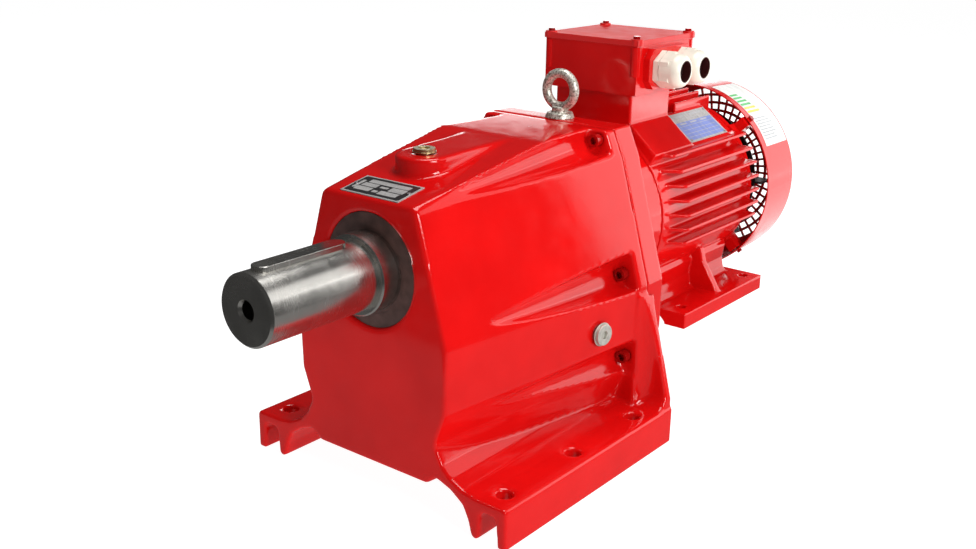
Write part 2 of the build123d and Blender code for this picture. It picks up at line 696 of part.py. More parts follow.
def cowl():
    y0, y1 = COWL_Y
    r1 = 158.0
    shape = cone(COWL_R, r1 + 1, y0, y1 - 14, 0, MOTOR_Z) + cone(r1 + 1, r1 - 9, y1 - 14, y1, 0, MOTOR_Z)
    hollow = cone(COWL_R - 2, r1 - 1, y0 - 0.01, y1 - 14, 0, MOTOR_Z)
    hollow += cone(r1 - 1, r1 - 10, y1 - 14.01, y1 - 2, 0, MOTOR_Z)
    shape -= hollow
    slots = None
    for r in range(34, 146, 14):
        band = ring(r, r + 9, y1 - 6, y1 + 3, 0, MOTOR_Z)
        slots = band if slots is None else slots + band
    bars = Pos(0, y1, MOTOR_Z) * Box(600, 16, 4)
    for k in range(1, 12):
        bars += Pos(0, y1, MOTOR_Z) * Rot(0, 15 * k, 0) * Box(600, 16, 4)
    for k in range(24):
        bars += Pos(0, y1, MOTOR_Z) * Rot(0, 15 * k + 7.5, 0) * Pos(120, 0, 0) * Box(80, 16, 4)
    shape -= slots - bars
    for k in range(4):
        a = radians(45 + 90 * k)
        screw = Plane(origin=(150 * cos(a), 806, MOTOR_Z + 150 * sin(a)), z_dir=(cos(a), 0, sin(a)))
        shape -= extrude(screw * Circle(3), amount=30)
    return shape


def cowl_screws():
    group = []
    for k in range(4):
        a = radians(45 + 90 * k)
        direction = (cos(a), 0, sin(a))
        reach = Plane(origin=(146 * cos(a), 806, MOTOR_Z + 146 * sin(a)), z_dir=direction)
        head = Plane(origin=(163 * cos(a), 806, MOTOR_Z + 163 * sin(a)), z_dir=direction)
        body = extrude(reach * Circle(2.45), amount=18)
        body += extrude(head * RegularPolygon(5, 6), amount=4)
        group.append(body)
    return Compound(children=group)


def terminal_box():
    x, (y0, y1), (z0, z1) = BOX_X, BOX_Y, BOX_Z
    shape = block(-x + 2, x - 2, y0 + 2, y1 - 2, z0 - 8, z1)
    shape -= block(-x + 8, x - 8, y0 + 8, y1 - 8, z0, z1 + 1)
    for sx in (-1, 1):
        for y in (y0 + 8, y1 - 8):
            shape += post(8, z0 + 20, z1, sx * (x - 8), y)
            shape -= post(2.9, z0 + 24, z1 + 1, sx * (x - 8), y)
    shape -= block(-44, 44, y0 + 40, y1 - 50, z0 - 10, z0 + 4)
    a, b, low, high = GLAND_Y[0] - 34, GLAND_Y[1] + 34, GLAND_Z - 29, GLAND_Z + 31
    pad = Plane.YZ.offset(x - 3) * make_face(Polyline(
        (a + 14, low), (b - 14, low), (b, low + 14), (b, high - 14), (b - 14, high),
        (a + 14, high), (a, high - 14), (a, low + 14), close=True))
    shape += extrude(pad, amount=3 + GLAND_PAD)
    for y in GLAND_Y:
        shape -= Pos(x, y, GLAND_Z) * Rot(0, 90, 0) * Cylinder(20.1, 60)
    shape -= block(-x + 8, x - 8, y0 + 16, y1 - 16, z0, z1 + 1)
    return shape


GLAND_Y = (536.0, 594.0)
GLAND_Z = 521.5
GLAND_PAD = 9.0          # thickness of the pad that the glands screw into


def box_gasket():
    x, (y0, y1), z1 = BOX_X, BOX_Y, BOX_Z[1]
    sheet = block(-x + 2, x - 2, y0 + 2, y1 - 2, z1, z1 + 2)
    sheet -= block(-x + 14, x - 14, y0 + 14, y1 - 14, z1 - 1, z1 + 3)
    for sx in (-1, 1):
        for y in (y0 + 8, y1 - 8):
            sheet -= post(3.2, z1 - 1, z1 + 3, sx * (x - 8), y)
    return sheet


def box_lid():
    x, (y0, y1), z1 = BOX_X, BOX_Y, BOX_Z[1] + 2
    lid = block(-x, x, y0, y1, z1, z1 + 8) - block(-x + 6, x - 6, y0 + 6, y1 - 6, z1 - 1, z1 + 4)
    for sx in (-1, 1):
        for y in (y0 + 8, y1 - 8):
            lid += post(9, z1, z1 + 10, sx * (x - 7), y)
            lid -= post(3.3, z1 - 1, z1 + 11, sx * (x - 8), y)
    return lid


def lid_screws():
    group = []
    x, (y0, y1), z1 = BOX_X, BOX_Y, BOX_Z[1] + 12
    for sx in (-1, 1):
        for y in (y0 + 8, y1 - 8):
            group.append(post(2.85, z1 - 36, z1, sx * (x - 8), y)
                         + hexagon_z(10, z1, z1 + 4, sx * (x - 8), y))
    return Compound(children=group)


def along_x(radius, x0, x1, y):
    """Bar along X on a gland's axis."""
    face = Plane(origin=(x0, y, GLAND_Z), z_dir=(1, 0, 0)) * Circle(radius)
    return extrude(face, amount=x1 - x0)


def hexagon_x(radius, x0, x1, y):
    face = Plane(origin=(x0, y, GLAND_Z), z_dir=(1, 0, 0)) * RegularPolygon(radius, 6)
    return extrude(face, amount=x1 - x0)


def gland_body(y):
    x = BOX_X + GLAND_PAD
    body = hexagon_x(28, x, x + 9, y) + along_x(20, x - 16, x + 1, y) + along_x(22, x + 8, x + 26, y)
    return body - along_x(16.5, x - 20, x + 40, y)


def gland_nut(y):
    x = BOX_X + GLAND_PAD + 10
    nut = hexagon_x(28, x, x + 15, y) + along_x(25.5, x, x + 20, y)
    tip = Plane(origin=(x + 20, y, GLAND_Z), z_dir=(1, 0, 0))
    nut += loft([tip * Circle(25.5), tip.offset(8) * Circle(23), tip.offset(12) * Circle(19)])
    nut -= along_x(22.05, x - 1, x + 18, y)
    return nut - along_x(15.5, x - 5, x + 60, y)


def gland_seal(y):
    x = BOX_X + GLAND_PAD
    return along_x(16.47, x + 10, x + 27, y) - along_x(11, x, x + 40, y)


def terminal_block():
    z0 = BOX_Z[0] + 0.5
    return block(-30, 30, 520, 612, z0, z0 + 18) - block(-26, 26, 530, 602, z0 + 14, z0 + 20)


def terminal_studs():
    z0 = BOX_Z[0] + 14.5
    group = []
    for x in (-14, 14):
        for y in (544, 566, 588):
            group.append(post(3, z0, z0 + 24, x, y) + hexagon_z(10, z0 + 3, z0 + 8, x, y))
    return Compound(children=group)


def reducer_plate():
    tilt = degrees(atan(TOP_SLOPE))
    place = Pos(-2, 30, 409 + TOP_SLOPE * 30 + 0.55) * Rot(tilt, 0, 0)
    plate = place * Box(98, 50, 1.0)
    return plate


def reducer_rivets():
    tilt = degrees(atan(TOP_SLOPE))
    group = []
    for x in (-47, 43):
        place = Pos(x, 30, 409 + TOP_SLOPE * 30 + 1.05) * Rot(tilt, 0, 0)
        group.append(place * Pos(0, 0, 0.75) * Cylinder(2.4, 1.4))
    return Compound(children=group)


def motor_plate():
    return tilted(PLATE_DIST + 0.55, 0, PLATE_Y) * Box(60, 118, 1.0)


def motor_rivets():
    group = []
    for along in (-26, 26):
        for y in (PLATE_Y - 54, PLATE_Y + 54):
            group.append(tilted(PLATE_DIST + 1.8, along, y) * Cylinder(2.2, 1.4))
    return Compound(children=group)


def rating_label():
    """Self-adhesive label wrapped on the upper right of the cowl."""
    band = cone(COWL_R + 0.35, 159.35, COWL_Y[0], COWL_Y[1] - 14, 0, MOTOR_Z)
    band -= cone(COWL_R + 0.05, 159.05, COWL_Y[0] - 0.01, COWL_Y[1] - 13.99, 0, MOTOR_Z)
    low, high = radians(26), radians(78)
    wedge = [(0, MOTOR_Z), (220 * cos(low), MOTOR_Z + 220 * sin(low)),
             (220, MOTOR_Z + 220), (220 * cos(high), MOTOR_Z + 220 * sin(high))]
    return band & prism(wedge, COWL_Y[0] + 16, COWL_Y[1] - 18)


def end_shield_screws():
    group = []
    for k in range(4):
        a = radians(45 + 90 * k)
        x, z = SHIELD_R * cos(a), MOTOR_Z + SHIELD_R * sin(a)
        body = disc(4, FRAME_Y[1] - 20, FRAME_Y[1] + 10, x, z)
        body += hexagon(13, FRAME_Y[1] + 10, FRAME_Y[1] + 15, x, z)
        group.append(body)
    return Compound(children=group)


def save_bearings():
    """Six bearings; the three identical 45 mm ones share nodes where they share a body."""
    made = {name: ball_bearing(*size) for name, size in BEARINGS.items()}
    for name in ("output_front", "output_rear", "intermediate_rear"):
        outer, inner, balls = made[name]
        save(outer, f"{name}_outer_ring")
        save(inner, f"{name}_inner_ring")
        save(balls, f"{name}_balls")
    small = ("intermediate_front", "motor_drive_end", "motor_fan_end")
    save(Compound(children=[made[name][0] for name in small]), "bearing_45_outer_rings")
    save(made["intermediate_front"][1], "intermediate_front_inner_ring")
    save(made["intermediate_front"][2], "intermediate_front_balls")
    save(Compound(children=[made[name][1] for name in small[1:]]), "motor_inner_rings")
    solids = [s for name in small[1:] for s in made[name][2].solids()]
    save(Compound(children=solids), "motor_bearing_balls")


def main():
    os.makedirs("parts", exist_ok=True)
    save(housing(), "gear_housing")
    save(oil_plugs(), "oil_plugs")
    save(plug_washers(), "plug_washers")
    save(breather(), "breather_plug")
    save(adapter(), "adapter_flange")
    save(flange_gasket(), "flange_gasket")
    save(flange_screws(), "flange_screws")
    save(eyebolt(), "eyebolt")
    save(reducer_plate(), "reducer_nameplate")
    save(output_shaft(), "output_shaft")
    save(key_bar(25, 14, *KEY_Y, KEY_Z), "output_shaft_key")
    save(lip_seal(52.5, BORE_R, 4, 13, OUT_Z), "output_oil_seal")
    save(output_gear(), "output_gear")
    save(key_bar(28, 16, *GEAR_KEY_Y, OUT_Z + 53), "output_gear_key")
    save(ring(50 + FIT, 58, GEAR2_Y[1] + 1, 232, 0, OUT_Z), "output_spacer")
    save(circlip(43.1, 50, 257, 259.5, OUT_Z), "output_circlip")
    save(intermediate_shaft(), "intermediate_shaft")
    save(intermediate_gear(), "intermediate_gear")
    save(key_bar(16, 10, 292, 333, MID_Z + 25), "intermediate_gear_key")
    save(circlip(24.1, 30, 337, 339, MID_Z), "intermediate_circlip")
    save(input_pinion(), "input_pinion")
    save_bearings()
    save(lip_seal(22.5, 36, 388.5, 9, MOTOR_Z), "motor_shaft_seal")
    save(stator_frame(), "stator_frame")
    save(stator_core(), "stator_core")
    save(windings(), "stator_windings")
    save(rotor_core(), "rotor_core")
    save(rotor_cage(), "rotor_end_rings")
    save(motor_shaft(), "motor_shaft")
    save(fan_end_shield(), "fan_end_shield")
    save(end_shield_screws(), "end_shield_screws")
    save(fan(), "cooling_fan")
    save(circlip(17.1, 22, 862, 864, MOTOR_Z), "fan_circlip")
    save(cowl(), "fan_cowl")
    save(cowl_screws(), "cowl_screws")
    save(rating_label(), "cowl_label")
    save(terminal_box(), "terminal_box")
    save(box_gasket(), "terminal_box_gasket")
    save(box_lid(), "terminal_box_lid")
    save(lid_screws(), "terminal_lid_screws")
    save(terminal_block(), "terminal_block")
    save(terminal_studs(), "terminal_studs")
    for name, maker in (("gland_bodies", gland_body), ("gland_nuts", gland_nut),
                        ("gland_seals", gland_seal)):
        save(Compound(children=[maker(y) for y in GLAND_Y]), name)
    save(motor_plate(), "motor_nameplate")
    save(Compound(children=list(reducer_rivets().solids()) + list(motor_rivets().solids())),
         "plate_rivets")
    print(len(NODES), "nodes")


main()
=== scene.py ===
"""Looks for the inline gear reducer: materials, cast surfaces, studio and camera."""
import json
from math import cos, radians, sin

import bmesh
import bpy
from mathutils import Matrix, Vector

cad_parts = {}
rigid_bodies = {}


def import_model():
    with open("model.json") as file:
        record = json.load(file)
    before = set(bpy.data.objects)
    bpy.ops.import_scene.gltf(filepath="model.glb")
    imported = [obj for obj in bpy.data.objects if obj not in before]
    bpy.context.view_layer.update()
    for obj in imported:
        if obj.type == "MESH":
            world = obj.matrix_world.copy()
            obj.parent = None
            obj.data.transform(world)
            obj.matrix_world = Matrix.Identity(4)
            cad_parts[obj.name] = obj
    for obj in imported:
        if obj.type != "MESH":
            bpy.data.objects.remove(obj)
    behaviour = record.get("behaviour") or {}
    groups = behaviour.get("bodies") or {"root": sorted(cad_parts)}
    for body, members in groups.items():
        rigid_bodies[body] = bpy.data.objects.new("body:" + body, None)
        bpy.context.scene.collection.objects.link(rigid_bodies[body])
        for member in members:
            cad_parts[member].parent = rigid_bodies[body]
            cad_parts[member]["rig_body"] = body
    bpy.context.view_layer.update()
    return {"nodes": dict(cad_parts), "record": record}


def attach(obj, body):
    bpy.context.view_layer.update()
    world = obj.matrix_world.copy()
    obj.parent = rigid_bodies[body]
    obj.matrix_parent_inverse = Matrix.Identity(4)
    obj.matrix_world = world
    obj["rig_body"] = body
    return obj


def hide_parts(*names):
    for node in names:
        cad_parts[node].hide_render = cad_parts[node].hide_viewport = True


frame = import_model()
NODES = frame["nodes"]
BODY = {name: obj["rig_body"] for name, obj in NODES.items()}
SLOTS = {part["node"]: part["material_slot"] for part in frame["record"]["subparts"]}
MM = 0.001

OUT_Z = 0.315            # output shaft height, m
MOTOR_Z = 297.0          # motor axis height, mm

# the two open cable glands, m: middle of the pair, half the pitch, height, and bore to rim, over
# which the painted shade inside each bore fades to ivory
GLAND_Y, GLAND_HALF_PITCH, GLAND_Z = 0.378, 0.029, 0.5215
GLAND_BORE, GLAND_RIM = 0.0160, 0.0168

# edge radius of each machined, pressed or moulded node, m
ROUNDED = {
    "terminal_box": 0.0022, "terminal_box_lid": 0.0012, "terminal_lid_screws": 0.0005,
    "flange_screws": 0.0008, "gland_bodies": 0.0010, "gland_nuts": 0.0016,
    "breather_plug": 0.0005, "oil_plugs": 0.0007, "plug_washers": 0.0003,
    "output_shaft_key": 0.0008, "cowl_screws": 0.0004, "fan_end_shield": 0.0015,
}
BEVEL_SEGMENTS = 3
BEVEL_ABOVE = 28         # edges sharper than this are rounded, degrees
SMOOTH_BELOW = 35        # edges flatter than this are shaded smooth, degrees
FLAT_WITHIN = 1.0        # faces closer than this are one flat face, degrees
WELD = 0.00001           # m
RELAX = 0.5              # share of the way that each relaxing step moves a vertex

# voxel size (m) and relaxing steps of each cast or forged node
CAST = {
    "gear_housing": (0.0018, 20), "adapter_flange": (0.0018, 12),
    "stator_frame": (0.0016, 4), "eyebolt": (0.0008, 6),
}
BLEND_ROUNDS = 30
ROOF_ABOVE = 0.34        # the housing's roof starts at this height, m
GUSSET_Z = (0.058, 0.21)
GUSSET_BEHIND = 0.172
GUSSET_WITHIN = 0.205

# place and slope of the reducer's plate; place, radius and lean of the motor's plate
REDUCER_PLATE_AT = (-0.002, -0.157, 0.4151)
REDUCER_PLATE_SLOPE = 0.18294
MOTOR_PLATE_RADIUS, MOTOR_PLATE_Y, MOTOR_PLATE_ANGLE = 0.14955, 0.485, 54
REDUCER_GROUND = [(-46.5, 46.5, -22.5, 22.5)]
MOTOR_PANEL = [(-11, 26.5, -55.5, 55.5)]
# raised fields of the two nameplates: x0, x1, y0, y1 from the plate's centre, mm
REDUCER_FIELDS = [
    (-31, 37, 8, 17), (-34, -9, -3, 6.5), (13, 38, -5, 6.5), (-36, -10, -15.5, -5),
    (5, 36, -17, -7), (-4, 9, -1, 4), (-6, 2, -15, -9), (-42, -37, -12, 12),
]
MOTOR_FIELDS = [
    (-25, -21, -44, -14), (-25, -21, 2, 40), (-18, -16.5, -44, 22), (-3, -2.2, -52, 52),
    (5, 5.8, -52, 52), (12.5, 13.3, -52, 52), (19.5, 20.3, -52, 52), (-10, 26, -20.4, -19.6),
    (-10, 26, 11.6, 12.4), (-9, -6, -46, -26), (-9, -6, -14, 6), (-9, -6, 18, 40),
]

# what is raised on them: name, fields, foot and top (mm), corner radius (mm), look
REDUCER_RAISED = [
    ("reducer_plate_ground", REDUCER_GROUND, 0.5, 0.62, 3, "plate_black"),
    ("reducer_plate_fields", REDUCER_FIELDS, 0.6, 0.75, 1, "plate_silver"),
]
MOTOR_RAISED = [
    ("motor_plate_panel", MOTOR_PANEL, 0.5, 0.62, 1.5, "plate_blue"),
    ("motor_plate_fields", MOTOR_FIELDS, 0.6, 0.72, 0.4, "print_grey"),
]
CORNER_STEPS = 4

# the fan cowl's label, mm: radius at its front edge, that edge, and its taper to the rear
LABEL_RADIUS, LABEL_FRONT, LABEL_TAPER = 163.37, 611, 4.0 / 103
LABEL_STEP = 1.5         # degrees
PRINT_LIFT = 0.12        # mm
# printed fields of the label: angle0, angle1 (degrees), y0, y1 (mm)
GREEN_BARS = [(64 - 3 * k, 65.6 - 3 * k, 629, 656 + 3 * k) for k in range(4)]
YELLOW_BARS = [(52 - 3 * k, 53.6 - 3 * k, 629, 670 + 4 * k) for k in range(2)]
GREY_ROWS = [(44 - 2 * k, 44.8 - 2 * k, 630, 676 + 5 * (k % 3)) for k in range(8)]
PRINTED = [
    ("label_green_bars", GREEN_BARS, "print_green"),
    ("label_yellow_bars", YELLOW_BARS, "print_yellow"),
    ("label_grey_rows", GREY_ROWS, "print_grey"),
]

# softboxes: name, place, what it points at, width and height (m), power (W)
SOFTBOXES = [
    ("softbox_side", (0.888, 2.57, 0.75), (-0.372, 0.37, 0.35), (3.0, 1.5), 27),
    ("softbox_shaft", (1.9, 1.75, 2.0), (0.0, -0.3, 0.33), (2.2, 1.4), 11),
    ("softbox_back", (-1.2, 2.75, 0.50), (0.0, 0.38, 0.50), (2.4, 0.96), 19),
    ("softbox_top", (0.1, 0.3, 2.8), (0.0, 0.1, 0.3), (1.6, 1.6), 50),
    ("key", (2.35, -0.45, 1.3), (0.0, 0.1, 0.3), (0.9, 0.9), 42),
]
# cards under the floor that only the gloss mirrors: name, x, y, half width (m), glow
CARDS = [
    ("studio_card_near", 0.25, 0.2, 0.85, 0.22),
    ("studio_card_rear", 0.65, 2.0, 0.95, 1.7),
]
FLOOR_HALF = 14          # m
FLOOR_Z, CARD_Z = -0.0005, -0.0008
FLOOR_GREY, FLOOR_GLOW, CARD_GREY = 0.40, 0.97, 0.05
AMBIENT = 0.05           # light of the room, apart from the softboxes

# the photo's camera: place (m), turns (degrees), focal length and sensor width (mm)
CAMERA_AT = (0.9757, -1.1852, 0.7694)
CAMERA_AZIMUTH, CAMERA_PITCH, CAMERA_ROLL = 38.146, 18.208, 0.994
LENS, SENSOR = 42.954344, 36.0
CLIP_END = 60            # m

RED = (0.70, 0.0050, 0.0050)
DEEP_RED = (0.58, 0.0035, 0.0035)
SCREW_RED = (0.42, 0.004, 0.004)
SCREW_DEEP_RED = (0.24, 0.003, 0.003)

MATS = {}
# nodes whose look differs from their slot's: painted over, printed or weathered; the gland seals
# are darkened with painted shade
PAINTED_OVER = {
    "flange_gasket": "red_casting", "terminal_box_gasket": "red_sheet",
    "reducer_nameplate": "plate_silver", "motor_nameplate": "plate_silver",
    "gland_seals": "gland_rubber", "terminal_box_lid": "red_lid", "eyebolt": "galvanised",
}


# ---- materials -----------------------------------------------------------------------------
class Mat:
    """A Principled material with short calls for the node chains used here."""

    def __init__(self, name, color, rough=0.4, metal=0.0, coat=0.0, coat_rough=0.05):
        self.mat = bpy.data.materials.new(name)
        self.mat.use_nodes = True
        self.tree = self.mat.node_tree
        self.shader = self.tree.nodes["Principled BSDF"]
        self.set("Base Color", (*color, 1))
        self.set("Roughness", rough)
        self.set("Metallic", metal)
        self.set("Coat Weight", coat)
        self.set("Coat Roughness", coat_rough)
        self.set("IOR", 1.5)
        self.place = self.node("ShaderNodeTexCoord").outputs["Object"]
        self.normal = None

    def set(self, socket, value):
        self.shader.inputs[socket].default_value = value

    def node(self, kind, **props):
        n = self.tree.nodes.new(kind)
        for key, value in props.items():
            setattr(n, key, value)
        return n

    def link(self, a, b):
        self.tree.links.new(a, b)

    def fill(self, socket, value):
        """Links value when it is a socket, and sets it when it is a number or a colour."""
        if isinstance(value, bpy.types.NodeSocket):
            self.link(value, socket)
        else:
            socket.default_value = value

    def stretched(self, scale, shift=(0, 0, 0)):
        m = self.node("ShaderNodeMapping")
        m.inputs["Scale"].default_value = scale
        m.inputs["Location"].default_value = shift
        self.link(self.place, m.inputs["Vector"])
        return m.outputs["Vector"]

    def noise(self, scale, detail=3.0, rough=0.5, vector=None):
        n = self.node("ShaderNodeTexNoise")
        n.inputs["Scale"].default_value = scale
        n.inputs["Detail"].default_value = detail
        n.inputs["Roughness"].default_value = rough
        self.link(vector or self.place, n.inputs["Vector"])
        return n.outputs["Fac"]

    def ramp(self, fac, low, high, a=0.3, b=0.7):
        r = self.node("ShaderNodeValToRGB")
        for element, position, color in zip(r.color_ramp.elements, (a, b), (low, high)):
            element.position = position
            element.color = (*color, 1)
        self.link(fac, r.inputs["Fac"])
        return r.outputs["Color"]

    def map(self, fac, low, high, a=0.3, b=0.7):
        r = self.node("ShaderNodeMapRange")
        for socket, value in (("From Min", a), ("From Max", b), ("To Min", low), ("To Max", high)):
            r.inputs[socket].default_value = value
        self.link(fac, r.inputs["Value"])
        return r.outputs["Result"]

    def mix(self, fac, a, b):
        m = self.node("ShaderNodeMix", data_type="RGBA")
        self.link(fac, m.inputs["Factor"])
        self.fill(m.inputs[6], a)
        self.fill(m.inputs[7], b)
        return m.outputs[2]

    def math(self, op, *values):
        m = self.node("ShaderNodeMath", operation=op)
        for socket, value in zip(m.inputs, values):
            self.fill(socket, value)
        return m.outputs[0]

    def axis(self, index):
        s = self.node("ShaderNodeSeparateXYZ")
        self.link(self.place, s.inputs[0])
        return s.outputs[index]

    def colour(self, socket):
        self.link(socket, self.shader.inputs["Base Color"])

    def roughness(self, socket):
        self.link(socket, self.shader.inputs["Roughness"])

    def bump(self, height, strength, distance):
        b = self.node("ShaderNodeBump")
        b.inputs["Strength"].default_value = strength
        b.inputs["Distance"].default_value = distance
        self.link(height, b.inputs["Height"])
        if self.normal is not None:
            self.link(self.normal, b.inputs["Normal"])
        self.normal = b.outputs["Normal"]
        self.link(self.normal, self.shader.inputs["Normal"])


def dim(tone, by):
    return tuple(c * by for c in tone)


def painted_casting(name, grain=1.0, tone=RED, deep=DEEP_RED):
    """Gloss red enamel over sand-cast iron: long ripples and a leathery sand grain."""
    m = Mat(name, tone, rough=0.09)
    m.colour(m.ramp(m.noise(9, 4), deep, tone))
    m.roughness(m.map(m.noise(38, 4), 0.07, 0.13))
    m.bump(m.noise(20, 2), 0.06 * grain, 0.0016)
    m.bump(m.noise(250, 2, 0.6), 0.16 * grain, 0.0003)
    return m.mat


def painted_sheet(name, rough=0.17):
    """Gloss red enamel on pressed sheet or smooth castings: light orange peel."""
    m = Mat(name, RED, rough=rough)
    m.colour(m.ramp(m.noise(6, 3), DEEP_RED, RED))
    m.roughness(m.map(m.noise(50, 3), rough - 0.03, rough + 0.06))
    m.bump(m.noise(180, 2), 0.10, 0.0002)
    m.bump(m.noise(24, 2), 0.08, 0.0012)
    return m.mat


def gland_plastic(name, tone=(0.86, 0.80, 0.68), bore_shade=(0.05, 0.008, 0.008)):
    """Ivory polyamide, with painted shade inside the two open bores."""
    m = Mat(name, tone, rough=0.34, coat=0.15, coat_rough=0.2)
    across = m.math("ABSOLUTE", m.math("SUBTRACT", m.axis(1), GLAND_Y))
    across = m.math("SUBTRACT", across, GLAND_HALF_PITCH)
    height = m.math("SUBTRACT", m.axis(2), GLAND_Z)
    square = m.math("ADD", m.math("POWER", across, 2.0), m.math("POWER", height, 2.0))
    ivory = m.ramp(m.noise(60, 4), dim(tone, 0.9), tone, 0.3, 0.65)
    # painted shade: near-black red inside each open bore, fading to ivory from GLAND_BORE out to
    # GLAND_RIM
    clear_of_bore_shade = m.map(m.math("SQRT", square), 0.0, 1.0, GLAND_BORE, GLAND_RIM)
    m.colour(m.mix(clear_of_bore_shade, (*bore_shade, 1), ivory))
    m.roughness(m.map(m.noise(200, 3), 0.28, 0.42))
    m.bump(m.noise(900, 2), 0.12, 0.0002)
    return m.mat


def galvanised(name, bright=(0.80, 0.78, 0.70), dull=(0.22, 0.20, 0.15)):
    """Forged and zinc dipped: bright film with dark specks and a rough skin."""
    m = Mat(name, bright, rough=0.38, metal=0.55)
    m.colour(m.ramp(m.noise(330, 4, 0.7), dull, bright, 0.40, 0.56))
    m.roughness(m.map(m.noise(300, 3), 0.28, 0.5))
    m.bump(m.noise(380, 3, 0.6), 0.7, 0.0005)
    return m.mat


def ground_steel(name, tone=(0.66, 0.64, 0.60)):
    """Ground and turned surface: fine rings around the output axis, faint oil stain."""
    m = Mat(name, tone, rough=0.24, metal=1.0)
    rings = m.noise(1.0, 3, 0.6, m.stretched((3, 1500, 3)))
    spin = m.node("ShaderNodeVectorMath", operation="LENGTH")
    m.link(m.stretched((1, 0, 1), (0, 0, -OUT_Z)), spin.inputs[0])
    turned = m.noise(1400, 3, 0.6, spin.outputs["Value"])
    film = m.noise(24, 5, 0.6)
    m.colour(m.ramp(film, dim(tone, 0.80), tone, 0.25, 0.65))
    m.roughness(m.map(m.math("ADD", rings, film), 0.20, 0.30, 0.7, 1.3))
    m.bump(rings, 0.12, 0.00008)
    m.bump(turned, 0.12, 0.00008)
    return m.mat


def plated(name, tone, rough=0.34, grain=0.25, coarse=650, metal=1.0):
    """Plated, polished or as-cast metal: cloudy tone and a fine skin."""
    m = Mat(name, tone, rough=rough, metal=metal)
    m.colour(m.ramp(m.noise(140, 4), dim(tone, 0.66), tone))
    m.roughness(m.map(m.noise(300, 3), rough - 0.08, rough + 0.12))
    m.bump(m.noise(coarse, 3), grain, 0.00025)
    return m.mat


def plastic(name, tone, rough=0.38, grain=0.15, dirt=0.82):
    """Plastic, rubber, fibre or varnished wire: handling dirt and a fine grain."""
    m = Mat(name, tone, rough=rough, coat=0.15, coat_rough=0.2)
    m.colour(m.ramp(m.noise(60, 4), dim(tone, dirt), tone, 0.3, 0.65))
    m.roughness(m.map(m.noise(200, 3), rough - 0.06, rough + 0.08))
    m.bump(m.noise(900, 2), grain, 0.0002)
    return m.mat


def scuffed_print(name, tone, rough=0.35):
    """Printed or anodised plate: faint scuffs along the plate and small specks."""
    m = Mat(name, tone, rough=rough)
    scuff = m.noise(30, 5, 0.7, m.stretched((1, 6, 1)))
    m.colour(m.ramp(scuff, dim(tone, 0.75), tone, 0.35, 0.6))
    m.roughness(m.map(m.noise(400, 3), rough - 0.08, rough + 0.12))
    m.bump(m.noise(700, 2), 0.08, 0.0001)
    return m.mat


def make_materials():
    for make, *values in (
        (painted_casting, "red_casting"),
        (painted_sheet, "red_sheet"),
        (painted_casting, "red_screw", 0.4, SCREW_RED, SCREW_DEEP_RED),
        (ground_steel, "ground_steel"),
        (ground_steel, "gear_steel", (0.42, 0.42, 0.43)),
        (plated, "bearing_steel", (0.66, 0.66, 0.67), 0.16, 0.04),
        (plated, "zinc_steel", (0.74, 0.72, 0.65), 0.42, 0.8, 420, 0.55),
        (plated, "yellow_zinc", (0.60, 0.48, 0.26), 0.30, 0.2),
        (plated, "brass", (0.75, 0.58, 0.24), 0.28, 0.1),
        (plated, "cast_aluminium", (0.68, 0.68, 0.69), 0.42, 0.3),
        (ground_steel, "laminated_steel", (0.30, 0.30, 0.31)),
        (plastic, "copper_winding", (0.50, 0.17, 0.05), 0.3, 0.6, 0.6),
        (plastic, "black_rubber", (0.115, 0.055, 0.046), 0.36, 0.3, 0.5),
        (plastic, "gasket_fibre", (0.10, 0.10, 0.09), 0.8, 0.6, 0.7),
        (plastic, "moulding", (0.22, 0.10, 0.05), 0.5, 0.3, 0.8),
        (plastic, "fan_plastic", (0.012, 0.012, 0.012), 0.55, 0.3, 0.7),
        (gland_plastic, "ivory_plastic"),
        (painted_sheet, "red_lid", 0.36),
        (galvanised, "galvanised"),
        (scuffed_print, "plate_black", (0.022, 0.020, 0.021)),
        (scuffed_print, "plate_blue", (0.20, 0.26, 0.60)),
        (scuffed_print, "label_film", (0.90, 0.90, 0.87)),
        (scuffed_print, "plate_silver", (0.44, 0.43, 0.42), 0.3),
        # gland seals: dark rubber, made darker and redder as painted shade inside the open glands
        (plastic, "gland_rubber", (0.045, 0.008, 0.008), 0.7, 0.3, 0.5),
        (scuffed_print, "print_green", (0.10, 0.55, 0.16)),
        (scuffed_print, "print_yellow", (0.85, 0.70, 0.08)),
        (scuffed_print, "print_grey", (0.45, 0.46, 0.48)),
    ):
        MATS[values[0]] = make(*values)


def paint(obj, mat):
    obj.data.materials.clear()
    obj.data.materials.append(mat)


def dress(obj, node):
    paint(obj, MATS[PAINTED_OVER.get(node, SLOTS[node])])


# ---- surfaces ------------------------------------------------------------------------------
def smooth_by_angle(mesh):
    for p in mesh.polygons:
        p.use_smooth = True
    bm = bmesh.new()
    bm.from_mesh(mesh)
    limit = radians(SMOOTH_BELOW)
    for e in bm.edges:
        e.smooth = len(e.link_faces) == 2 and e.calc_face_angle(0) < limit
    bm.to_mesh(mesh)
    bm.free()


def applied(obj):
    """Replace obj's mesh by its evaluated one and drop the modifiers."""
    bpy.context.view_layer.update()
    graph = bpy.context.evaluated_depsgraph_get()
    mesh = bpy.data.meshes.new_from_object(obj.evaluated_get(graph))
    obj.modifiers.clear()
    obj.data = mesh


def weld(mesh):
    bm = bmesh.new()
    bm.from_mesh(mesh)
    bmesh.ops.remove_doubles(bm, verts=bm.verts, dist=WELD)
    bmesh.ops.dissolve_degenerate(bm, edges=bm.edges, dist=WELD)
    bm.to_mesh(mesh)
    bm.free()


def relax(obj, rounds):
    """Adds a Smooth modifier, which gives edges and inside corners their radii."""
    smooth = obj.modifiers.new("relax", "SMOOTH")
    smooth.factor = RELAX
    smooth.iterations = rounds
    return smooth


def housing_blend(p):
    """Where the housing's own radii are large: the roof, and the corner under each gusset."""
    corner = p.y > GUSSET_BEHIND and abs(p.x) < GUSSET_WITHIN
    return p.z > ROOF_ABOVE or (corner and GUSSET_Z[0] < p.z < GUSSET_Z[1])


